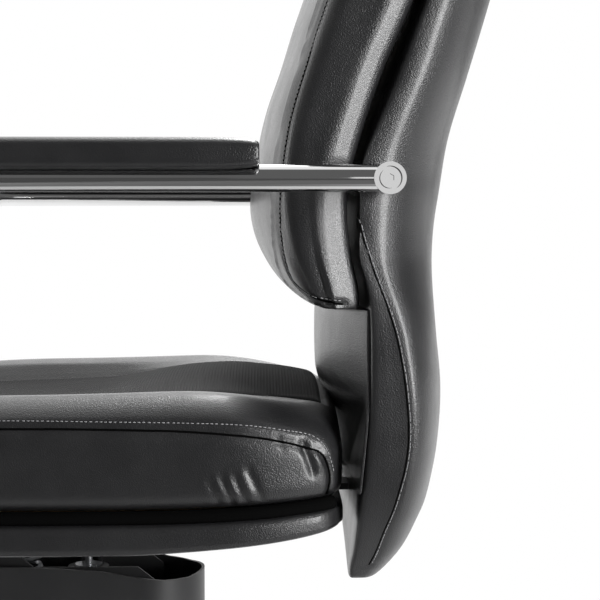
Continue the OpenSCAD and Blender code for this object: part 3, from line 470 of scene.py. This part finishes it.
def relief(tree, height, strength, distance, under=None):
    """Normals with the relief of a height socket, over other normals where some are given."""
    inputs = {"Height": height, "Strength": strength, "Distance": distance}
    if under is not None:
        inputs["Normal"] = under
    return add(tree, "ShaderNodeBump", inputs).outputs["Normal"]


def mix_colours(tree, factor, first, second):
    """A colour between two, by a factor socket."""
    ramp = add(tree, "ShaderNodeValToRGB", {"Fac": factor})
    ramp.color_ramp.elements[0].color = (*first, 1)
    ramp.color_ramp.elements[1].color = (*second, 1)
    return ramp.outputs["Color"]


def leather(name, dark, light, rough, grain=0.42):
    """Black leather: a fine pebble grain over a slow unevenness."""
    material, tree, shader = new_material(name)
    where = surface_point(tree)
    slow = noise(tree, where, 26.0, 3.0)
    pebble = add(tree, "ShaderNodeTexVoronoi", {"Vector": where, "Scale": 850.0}, feature="F1")
    height = maths(tree, "ADD", pebble.outputs["Distance"], noise(tree, where, 700.0, 3.0))
    feed(tree, shader, {
        "Base Color": mix_colours(tree, slow, dark, light),
        "Roughness": between(tree, slow, 0.3, 0.7, rough - 0.05, rough + 0.05),
        "Normal": relief(tree, slow, 0.02, 0.004, under=relief(tree, height, grain, 0.0007)),
        "Coat Weight": 0.35,
        "Coat Roughness": 0.2})
    return material


def ribbed_fabric(name):
    """Dark matte fabric with fine ribs that run across the seat."""
    material, tree, shader = new_material(name)
    where = surface_point(tree)
    ribs = add(tree, "ShaderNodeTexWave", {"Vector": where, "Scale": 105.0, "Distortion": 0.25, "Detail": 1.0,
                                           "Detail Scale": 20.0}, bands_direction="Y").outputs["Fac"]
    height = maths(tree, "MULTIPLY_ADD", noise(tree, where, 900.0, 2.0), 0.4, ribs)
    feed(tree, shader, {
        "Base Color": mix_colours(tree, ribs, (0.009, 0.009, 0.0095), (0.021, 0.021, 0.022)),
        "Roughness": 0.85,
        "Specular IOR Level": 0.25,
        "Sheen Weight": 0.15,
        "Normal": relief(tree, height, 0.6, 0.0008)})
    return material


def metal(name, colour, rough, brushed=0.0):
    """Bare or plated metal, with faint smears, and brush marks where asked."""
    material, tree, shader = new_material(name)
    where = surface_point(tree)
    smear = noise(tree, where, 14.0, 4.0)
    shade = tuple(0.92 * c for c in colour)
    feed(tree, shader, {
        "Base Color": mix_colours(tree, smear, shade, colour),
        "Metallic": 1.0,
        "Roughness": between(tree, smear, 0.35, 0.65, rough, rough * 1.5 + 0.01)})
    if brushed:
        feed(tree, shader, {"Normal": relief(tree, noise(tree, where, 700.0, 2.0), brushed, 0.0002)})
    return material


def plastic(name, colour, rough, grain=0.15, shine=0.5):
    """Moulded plastic, powder coat or thread, with a fine erosion texture and rubbed places."""
    material, tree, shader = new_material(name)
    where = surface_point(tree)
    slow = noise(tree, where, 18.0, 3.0)
    shade = tuple(0.8 * c for c in colour)
    feed(tree, shader, {
        "Base Color": mix_colours(tree, slow, shade, colour),
        "Roughness": between(tree, slow, 0.3, 0.7, rough - 0.06, rough + 0.06),
        "Normal": relief(tree, noise(tree, where, 1100.0, 2.0), grain, 0.0003),
        "Specular IOR Level": shine})
    return material


def plywood(name):
    """Raw plywood with long grain along the board."""
    material, tree, shader = new_material(name)
    stretched = add(tree, "ShaderNodeMapping", {"Vector": surface_point(tree), "Scale": (60.0, 6.0, 60.0)})
    grain = noise(tree, stretched.outputs[0], 3.0, 6.0)
    feed(tree, shader, {
        "Base Color": mix_colours(tree, grain, (0.42, 0.27, 0.15), (0.68, 0.50, 0.32)),
        "Roughness": 0.7,
        "Normal": relief(tree, grain, 0.3, 0.0004)})
    return material


def make_materials():
    """The record's slots, each with its own look, and those of the threads and of the painted shade in seams
    and grooves.
    """
    black = (0.024, 0.024, 0.025)
    return {
        "black_leather": leather("black_leather", (0.013, 0.013, 0.014), (0.022, 0.022, 0.023), 0.34),
        "ribbed_fabric": ribbed_fabric("ribbed_fabric"),
        "chrome": metal("chrome", (0.9, 0.9, 0.9), 0.03),
        "polished_aluminium": metal("polished_aluminium", (0.81, 0.81, 0.82), 0.12),
        "plywood": plywood("plywood"),
        "black_plastic": plastic("black_plastic", black, 0.42),
        "wheel_nylon": plastic("wheel_nylon", (0.03, 0.03, 0.031), 0.36, 0.06),
        "black_steel": plastic("black_steel", black, 0.5, 0.25),
        "bare_steel": metal("bare_steel", (0.55, 0.56, 0.58), 0.28, 0.3),
        "thread": plastic("thread", (0.42, 0.42, 0.43), 0.6),
        # Near-black with hardly any shine, for the dark lines in seams and grooves: painted shade
        "painted_seam_shade": plastic("painted_seam_shade", (0.003, 0.003, 0.003), 0.9, shine=0.03),
    }


def dress(piece, material, body="seat"):
    """Gives a made piece its material and the body it rides on."""
    piece.data.materials.clear()
    piece.data.materials.append(material)
    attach(piece, body)
    return piece


# Soft pieces


def seat_top(s, t):
    """Height of the seat's upper surface, from its share across and its place along."""
    dish = curve(DISH)(np.abs(s))
    dish = np.where(dish > 0, dish * curve(DISH_SHARE)(t), dish * curve(RIDGE_SHARE)(t))
    crown = curve(CENTRE_CROWN)(t) * np.maximum(0, 1 - (s * SEAT_HALF_W / CENTRE_HALF_W) ** 2)
    return BOLSTER_TOP_Z + curve(CREST)(t) - dish + crown


def seat_half(half_w):
    """The seat's half-width along it, less at the rounded rear corners."""
    def at(t):
        nearly_all = 0.98 * CORNER_R
        into = np.clip(t - (SEAT_BACK - CORNER_R), 0, nearly_all)
        round_off = CORNER_R - np.sqrt(CORNER_R**2 - into**2)
        return half_w - CORNER_CURVE * np.maximum(0, t - CORNER_START) ** 2 - round_off

    return at


def rear_rise(t):
    """How far the joint of cushion and base rises towards the rear."""
    return curve(REAR_RISE)(t)


def make_seat(looks):
    """The seat's cushion, base and ribbed panel, with their seams, stitches and folds, and near-black tubes
    of painted shade in the seams and in the groove between cushion and base.
    """
    cushion = pillow(
        "seat_cushion_leather", SEAT_FRONT, SEAT_BACK, seat_half(SEAT_HALF_W),
        lambda s, t: PANEL_TOP_Z + SOFT_GAP + rear_rise(t), seat_top, along="y", steps=230, around=290,
        near_k=8, far_k=SEAT_FAR_K, top_k=SEAT_END_K, under_k=20, nip=SEAT_NIP, far_nip=SEAT_FAR_NIP,
        depth=55)
    sink_centre(cushion)
    base = pillow(
        "seat_base_leather", SEAT_FRONT + 3, SEAT_BACK + 2, seat_half(BASE_HALF_W),
        lambda s, t: curve(PANEL_LOW)(t), lambda s, t: PANEL_TOP_Z + rear_rise(t), along="y", steps=110,
        around=200, near_k=12, far_k=5, top_k=12, nip=0.06, depth=17)
    panel = make_centre_panel()
    tree = surface(cushion)
    for side, word in ((1, "left"), (-1, "right")):
        line, normals = on_side(tree, SEAT_SEAM, side)
        press(cushion, line, depth=2.2, width=4.0)
        # The seam's dark line is a near-black tube: painted shade in the pressed groove
        dress(tube(f"seat_seam_shade_{word}", line - normals * 1.6, radius=1.0), looks["painted_seam_shade"])
        for fold, depth, width in SEAT_FOLDS:
            press(cushion, on_side(tree, fold, side)[0], depth, width)
        # A near-black tube along the groove between cushion and base: painted shade
        dress(tube(f"seat_groove_shade_{word}", groove_line(side), GROOVE_R, sides=16), looks["painted_seam_shade"])
        line, normals = on_side(tree, SEAT_TOP_STITCH, side)
        dress(stitches(f"seat_stitches_{word}", line, normals), looks["thread"])
    dress(cushion, looks["black_leather"])
    dress(base, looks["black_leather"])
    dress(panel, looks["ribbed_fabric"])
    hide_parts("seat_cushion")
    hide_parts("base_panel")
    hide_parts("centre_panel")


def groove_line(side):
    """The line of the groove between cushion and base, a little inside the leather."""
    y = np.arange(SEAT_FRONT + GROOVE_SPARE_FRONT, SEAT_BACK - GROOVE_SPARE_REAR, 3.0)
    return np.stack([side * (seat_half(BASE_HALF_W)(y) - GROOVE_IN), y, PANEL_TOP_Z + rear_rise(y)], 1)


def inside_centre(x, y, soft):
    """How far inside the centre panel's outline a point is, from 0 at the edge to 1 at soft."""
    from_side = (CENTRE_HALF_W - np.abs(x)) / soft
    from_ends = np.minimum(y - CENTRE_FRONT, CENTRE_REAR - y) / soft
    return np.clip(np.minimum(from_side, from_ends), 0, 1)


def sink_centre(cushion):
    """Lowers the leather form under the ribbed panel and rolls it down into the panel's seam."""
    for vertex in cushion.data.vertices:
        x, y, z = vertex.co / MM
        if z > PANEL_TOP_Z + SEAT_TOP_ABOVE:
            outside = np.hypot(max(0, abs(x) - CENTRE_HALF_W), max(0, CENTRE_FRONT - y, y - CENTRE_REAR))
            roll = CENTRE_SEAM_DEPTH * math.exp(-((outside / CENTRE_SEAM_W) ** 2))
            inner = (CENTRE_T - 1 - CENTRE_SEAM_DEPTH) * float(inside_centre(x, y, CENTRE_SINK_W))
            vertex.co.z -= (roll + inner) * MM
    cushion.data.update()


def make_centre_panel():
    """The ribbed panel: a shallow pad whose edge rolls down into its seam."""
    across, along = 120, 170
    x = np.linspace(-CENTRE_HALF_W, CENTRE_HALF_W, across + 1)
    y = np.linspace(CENTRE_FRONT, CENTRE_REAR, along + 1)
    gx, gy = np.meshgrid(x, y)
    top = seat_surface(gx, gy)
    roll = inside_centre(gx, gy, CENTRE_EDGE_W)
    upper = top + CENTRE_PROUD - CENTRE_EDGE_DROP * (1 - np.sqrt(1 - (1 - roll) ** 2))
    lower = top - CENTRE_T
    count = gx.size
    points = np.concatenate([np.stack([gx, gy, upper], -1).reshape(-1, 3),
                             np.stack([gx, gy, lower], -1).reshape(-1, 3)])
    faces = []
    row = across + 1
    for i in range(along):
        for j in range(across):
            a = i * row + j
            faces.append([a, a + 1, a + row + 1, a + row])
            faces.append([count + a, count + a + row, count + a + row + 1, count + a + 1])
    rim = list(range(across)) + [i * row + across for i in range(along)]
    rim += [along * row + j for j in range(across, 0, -1)] + [i * row for i in range(along, 0, -1)]
    for k, a in enumerate(rim):
        b = rim[(k + 1) % len(rim)]
        faces.append([a, count + a, count + b, b])
    return mesh_object("seat_centre_ribbed", points, faces)


def seat_surface(x, y):
    """Height of the seat's upper surface at a place on it. The cushion's form is solved for its
    share across in a few rounds, since its width there depends on the height."""
    mid, half = (SEAT_FRONT + SEAT_BACK) / 2, (SEAT_BACK - SEAT_FRONT) / 2
    reach = math.sin(END_ANGLE) ** (2 / SEAT_END_K)
    almost = 0.999
    u = np.clip(np.abs(y - mid) / half * reach, 0, almost)
    full = (1 - u**SEAT_END_K) ** (1 / SEAT_END_K)
    s = x / seat_half(SEAT_HALF_W)(y)
    v = np.ones_like(s)
    for _ in range(6):
        widened = s / (1 - (SEAT_NIP + SEAT_FAR_NIP * v**1.5) * (1 - full))
        v = (1 - np.minimum(np.abs(widened), almost) ** SEAT_FAR_K) ** (1 / SEAT_FAR_K)
    low = PANEL_TOP_Z + SOFT_GAP + rear_rise(y)
    high = seat_top(widened, y)
    return (low + high) / 2 + (high - low) / 2 * v * full


def shell_near(t):
    """The shell's front face: its own outline low down, and the back cushion's rear above that."""
    own = curve(SHELL_NEAR)
    behind_cushion = curve(CUSHION_FAR)(t) + SHELL_GAP
    last = SHELL_NEAR[-1][0]
    return np.where(t < SHELL_STEP_Z, own(t), np.maximum(own(np.minimum(t, last)), behind_cushion))


def shell_far(s, t):
    """The shell's rear face, crowned beyond the outline that the photograph shows."""
    return curve(SHELL_FAR)(t) + SHELL_CROWN * np.minimum(1, (t - CROWN_START_Z) / CROWN_REACH)


def shell_waist(t):
    """The shell's widest line, a little before the ridge that catches the light."""
    return np.maximum(curve(SHELL_WAIST)(t) - WAIST_AHEAD, shell_near(t) + WAIST_MARGIN)


def lean(points):
    """Leans the rear of the back cushion's side inwards, from a soft bend to an even slope."""
    x, y, z = points.T
    start = curve(LEAN_START)(z)
    depth = np.clip(start - (curve(CUSHION_FAR)(z) - y), 0, start)
    bend = start - LEAN_FLAT
    drop = np.where(depth < bend, depth**2 / (2 * bend), bend / 2 + depth - bend) * LEAN_SLOPE
    share = np.clip((np.abs(x) - LEAN_START_X) / LEAN_BLEND, 0, 1)
    points[:, 0] = x - np.sign(x) * drop * share
    return points


def arch(points):
    """Lifts the middle of the shell's lower edge into its arch."""
    widest = ARCH_RADIUS * 0.6
    x, z = points[:, 0], points[:, 2]
    centre = SHELL_LOW_Z + ARCH_HEIGHT - ARCH_RADIUS
    edge = centre + np.sqrt(ARCH_RADIUS**2 - np.minimum(np.abs(x), widest) ** 2)
    lift = np.maximum(0, edge - SHELL_LOW_Z)
    share = np.clip(1 - (z - SHELL_LOW_Z) / ARCH_REACH, 0, 1)
    points[:, 2] = z + lift * share**2
    return points


def cushion_half(t):
    """The back cushion's half-width at a height."""
    return curve(BACK_WIDTH)(t) * CUSHION_HALF_W / BACK_WIDTH_AT


def cushion_near(s, t):
    """The back cushion's front face, between its side outline and the one in the middle."""
    return curve(CUSHION_NEAR_SIDE)(t) * s * s + curve(CUSHION_NEAR_MID)(t) * (1 - s * s)


def lower_pad_near(s, t):
    """The lower pad's front face, which its crown takes back towards the sides."""
    return np.minimum(curve(LOWER_PAD_NEAR)(t) + LOWER_PAD_CROWN * s * s, shell_near(t) - 0.5)


def make_back(looks):
    """The back's shell, cushion and lower pad, with their seams, piping and stitches, and near-black tubes of
    painted shade in the seams and behind the piping.
    """
    shell = pillow(
        "back_shell_leather", SHELL_LOW_Z, SHELL_TOP_Z, curve(SHELL_HALF), lambda s, t: shell_near(t),
        shell_far, steps=170, around=260, near_k=5, far_k=2.3, top_k=6, low_k=18, waist=shell_waist, nip=0.10,
        near_square=curve(SHELL_SQUARE), shape=arch)
    cushion = pillow(
        "back_cushion_leather", CUSHION_LOW_Z, CUSHION_TOP_Z, cushion_half, cushion_near,
        lambda s, t: curve(CUSHION_FAR)(t), steps=150, around=220, near_k=7, far_k=30, top_k=24, under_k=5,
        nip=0.10, shape=lean)
    lower = pillow(
        "back_lower_leather", LOWER_PAD_LOW_Z, CUSHION_LOW_Z - 1, lambda t: LOWER_PAD_HALF_W + 0 * t,
        lower_pad_near, lambda s, t: shell_near(t) + 2, steps=50, around=200, near_k=40, far_k=20, top_k=12,
        nip=0.01, depth=16)
    cushion_tree, shell_tree = surface(cushion), surface(shell)
    for side, word in ((1, "left"), (-1, "right")):
        line, normals = on_side(cushion_tree, CUSHION_SEAM, side)
        press(cushion, line, depth=2.0, width=3.5)
        # A near-black tube in the seam: painted shade
        dress(tube(f"back_seam_shade_{word}", line - normals * 1.5, radius=0.9), looks["painted_seam_shade"])
        dress(stitches(f"back_stitches_{word}", line, normals, offset=-3.2), looks["thread"])
        line, normals = on_side(cushion_tree, CUSHION_PIPING, side)
        press(cushion, line, depth=-1.5, width=2.2)
        # A near-black line just behind the piping: painted shade
        shade_behind_piping = line + [0, PIPING_SHADE_AT, 0] - normals * 0.2
        dress(tube(f"piping_shade_{word}", shade_behind_piping, radius=0.5), looks["painted_seam_shade"])
        line, normals = on_side(shell_tree, WING_SEAM, side)
        press(shell, line, depth=1.2, width=3.0)
        # A near-black tube in the wing's seam: painted shade
        dress(tube(f"wing_seam_shade_{word}", line - normals * 0.9, radius=0.6), looks["painted_seam_shade"])
        threads = stitches(f"wing_stitches_{word}", line, normals, offset=-1.4, pitch=3.4, length=3.0,
                           radius=0.36)
        dress(threads, looks["thread"])
    for piece, node, fill in ((shell, "back_shell", 0.95), (cushion, "back_cushion", 0.8),
                              (lower, "lower_back_pad", 0.85)):
        dress(piece, looks["black_leather"])
        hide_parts(node)


def make_arm_pads(looks):
    """The two arm pads, each saddled on its tube."""
    low = ARM_Z + ARM_TUBE_R - PAD_SADDLE
    clear = ARM_TUBE_R + SOFT_GAP

    def under(s, t):
        """The pad's lower face, hollowed where the tube runs through it."""
        x = s * PAD_HALF_W
        return low + np.maximum(0, np.sqrt(np.maximum(clear**2 - x**2, 0)) - (low - ARM_Z))

    for side, word in ((1, "left"), (-1, "right")):
        pad = pillow(f"arm_pad_leather_{word}", PAD_FRONT, PAD_REAR, lambda t: PAD_HALF_W + 0 * t, under,
                     lambda s, t: low + PAD_T + 0 * t, along="y", steps=110, around=96, near_k=5, far_k=3.6,
                     top_k=8, nip=0.3, depth=PAD_T / 2)
        pad.location.x = side * ARM_X * MM
        dress(pad, looks["black_leather"])
        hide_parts(f"arm_pad_{word}")


def dress_cad_nodes(frame, looks):
    """Gives every CAD node that stays its slot's material, and smooth faces between its real edges."""
    slot_of = {row["node"]: row["material_slot"] for row in frame["record"]["subparts"]}
    for name, node in frame["nodes"].items():
        node.data.materials.clear()
        node.data.materials.append(looks[slot_of[name]])
        node.data.shade_smooth()
        weld = node.modifiers.new("weld", "WELD")
        weld.merge_threshold = CAD_WELD * MM
        split = node.modifiers.new("edges", "EDGE_SPLIT")
        split.split_angle = SHARP_EDGE


# Stage


def make_floor():
    """A pale floor that keeps the chair's shadow and turns white away from it. Its part towards the
    camera's side looks dark in mirrors and half-way to soft light, since the bright tubes in the
    photograph mirror a dark one there."""
    bpy.ops.mesh.primitive_plane_add(size=FLOOR_SIZE, location=(0, 0, 0))
    floor = bpy.context.object
    floor.name = "floor"
    material, tree, shader = new_material("floor")
    where = surface_point(tree)
    path = add(tree, "ShaderNodeLightPath").outputs
    side = add(tree, "ShaderNodeSeparateXYZ", {0: where}).outputs["X"]
    pale_side = rise(tree, side, FLOOR_DARK_TO, FLOOR_DARK_FROM, 1.0)
    pale = maths(tree, "ADD", pale_side, path["Is Camera Ray"])
    matt = maths(tree, "SUBTRACT", 1.0, path["Is Glossy Ray"])
    pale = maths(tree, "MULTIPLY_ADD", matt, FLOOR_MATT_SHARE, pale, clamp=True)
    feed(tree, shader, {"Base Color": mix_colours(tree, pale, FLOOR_DARK, FLOOR_PALE), "Roughness": 0.8})
    reach = add(tree, "ShaderNodeVectorMath", {0: where}, operation="LENGTH").outputs["Value"]
    far = rise(tree, reach, FLOOR_WHITE_FROM, FLOOR_WHITE_TO, 1.0)
    mirrored = maths(tree, "ADD", path["Is Glossy Ray"], path["Is Transmission Ray"])
    mirrored = maths(tree, "MULTIPLY", mirrored, pale_side)
    seen = maths(tree, "ADD", path["Is Camera Ray"], mirrored, clamp=True)
    share = maths(tree, "MULTIPLY", seen, far)
    white = add(tree, "ShaderNodeEmission", {"Color": (1, 1, 1, 1), "Strength": 1.0})
    mix = add(tree, "ShaderNodeMixShader", {0: share, 1: shader.outputs[0], 2: white.outputs[0]})
    feed(tree, tree.nodes["Material Output"], {"Surface": mix.outputs[0]})
    floor.data.materials.append(material)


def make_world():
    """A studio that is bright beyond the chair and above it, and dim on the camera's side. The camera
    itself sees it white."""
    world = bpy.data.worlds.new("studio")
    bpy.context.scene.world = world
    world.use_nodes = True
    tree = world.node_tree
    background = tree.nodes["Background"]
    direction = add(tree, "ShaderNodeTexCoord").outputs["Generated"]
    axis = add(tree, "ShaderNodeSeparateXYZ", {0: direction}).outputs
    beyond = maths(tree, "MULTIPLY", rise(tree, axis["X"], -0.2, -0.75, WORLD_BEYOND),
                   rise(tree, axis["Y"], 0.6, 0.1, 1.0))
    above = maths(tree, "MULTIPLY", rise(tree, axis["Z"], 0.35, 0.85, WORLD_ABOVE),
                  rise(tree, axis["X"], 0.4, 0.0, 1.0))
    ahead = rise(tree, axis["Y"], -0.3, -0.9, WORLD_AHEAD)
    total = maths(tree, "ADD", maths(tree, "ADD", beyond, above), ahead)
    path = add(tree, "ShaderNodeLightPath").outputs
    gain = maths(tree, "MULTIPLY_ADD", path["Is Glossy Ray"], MIRROR_GAIN, 1.0)
    strength = maths(tree, "MULTIPLY_ADD", total, gain, WORLD_FILL)
    feed(tree, background, {"Color": (1, 1, 1, 1), "Strength": strength})
    white = add(tree, "ShaderNodeBackground", {"Color": (1, 1, 1, 1), "Strength": 1.0})
    mix = add(tree, "ShaderNodeMixShader", {0: path["Is Camera Ray"], 1: background.outputs[0],
                                            2: white.outputs[0]})
    feed(tree, tree.nodes["World Output"], {"Surface": mix.outputs[0]})


def make_lamp(name, at, towards, size, power):
    """A soft rectangular lamp that points at a place."""
    data = bpy.data.lights.new(name, "AREA")
    data.shape = "RECTANGLE"
    data.size, data.size_y = size
    data.energy = power
    lamp = bpy.data.objects.new(name, data)
    bpy.context.scene.collection.objects.link(lamp)
    lamp.location = at
    lamp.rotation_euler = (Vector(towards) - Vector(at)).to_track_quat("-Z", "Y").to_euler()


def make_camera():
    """The photograph's camera."""
    data = bpy.data.cameras.new("photo_view")
    data.sensor_width = CAMERA_SENSOR
    data.lens = CAMERA_LENS
    camera = bpy.data.objects.new("photo_view", data)
    bpy.context.scene.collection.objects.link(camera)
    camera.location = CAMERA_AT
    camera.rotation_euler = (math.radians(90 - CAMERA_PITCH), 0, math.radians(90 - CAMERA_YAW))
    bpy.context.scene.camera = camera


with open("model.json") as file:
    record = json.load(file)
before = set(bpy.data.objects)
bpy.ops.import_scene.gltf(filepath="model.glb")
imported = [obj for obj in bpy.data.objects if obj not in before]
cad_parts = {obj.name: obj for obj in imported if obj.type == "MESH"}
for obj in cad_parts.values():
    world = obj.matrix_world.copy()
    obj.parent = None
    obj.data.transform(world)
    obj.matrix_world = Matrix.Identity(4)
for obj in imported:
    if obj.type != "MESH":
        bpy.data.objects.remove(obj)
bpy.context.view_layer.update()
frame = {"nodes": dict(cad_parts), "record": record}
make_camera()
make_floor()
make_world()
for lamp in LAMPS:
    make_lamp(*lamp)
bpy.context.scene.view_settings.view_transform = "Standard"
looks = make_materials()
dress_cad_nodes(frame, looks)
make_seat(looks)
make_back(looks)
make_arm_pads(looks)
